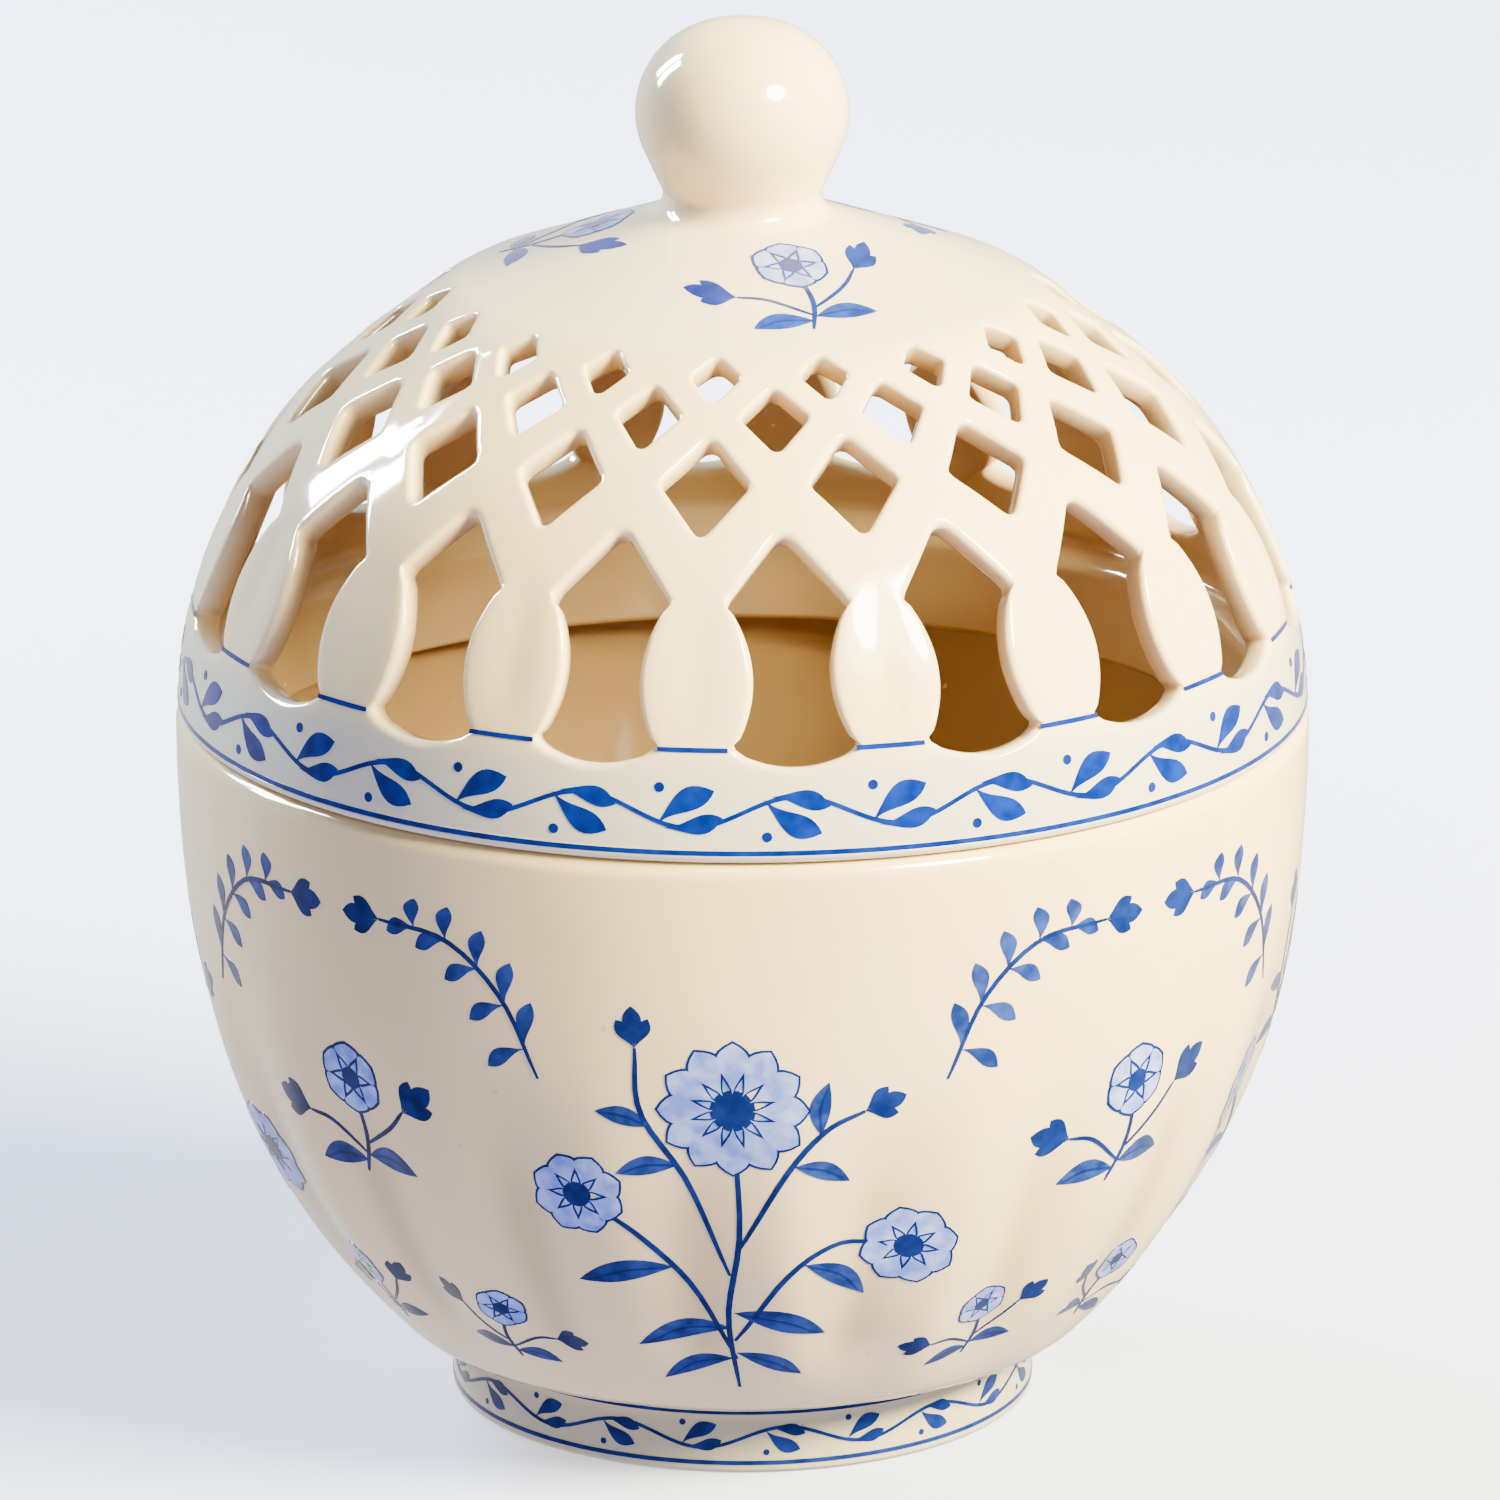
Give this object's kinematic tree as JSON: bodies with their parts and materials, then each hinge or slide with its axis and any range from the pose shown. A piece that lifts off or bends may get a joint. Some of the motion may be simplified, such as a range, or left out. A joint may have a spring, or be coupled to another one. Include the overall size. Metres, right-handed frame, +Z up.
{
  "type": "potpourri vase",
  "caption": "Round glazed ceramic potpourri vase: a bowl on a foot ring with a loose dome lid, pierced as a lattice to let the scent out and lifted by a ball knob.",
  "frame": {"origin": "centre of the foot ring's resting face", "axes": "+Z up along the axis of turning, -Y towards the front of the print, +X to the right"},
  "size_m": [0.1268, 0.1268, 0.1584],
  "materials": {
    "bowl_glaze": "glossy ivory glaze with a cobalt blue flower print in the glaze",
    "lid_glaze": "glossy ivory glaze with cobalt blue lines and waves in the glaze",
    "knob_glaze": "plain glossy ivory glaze"
  },
  "bodies": {
    "bowl": {"bowl": "bowl_glaze"},
    "lid": {"lid": "lid_glaze", "knob": "knob_glaze"}
  },
  "joints": [
    {"name": "lid_lift", "type": "slide", "parent": "bowl", "child": "lid", "axis": [0, 0, 1], "range_m": [0, 0.12]}
  ]
}
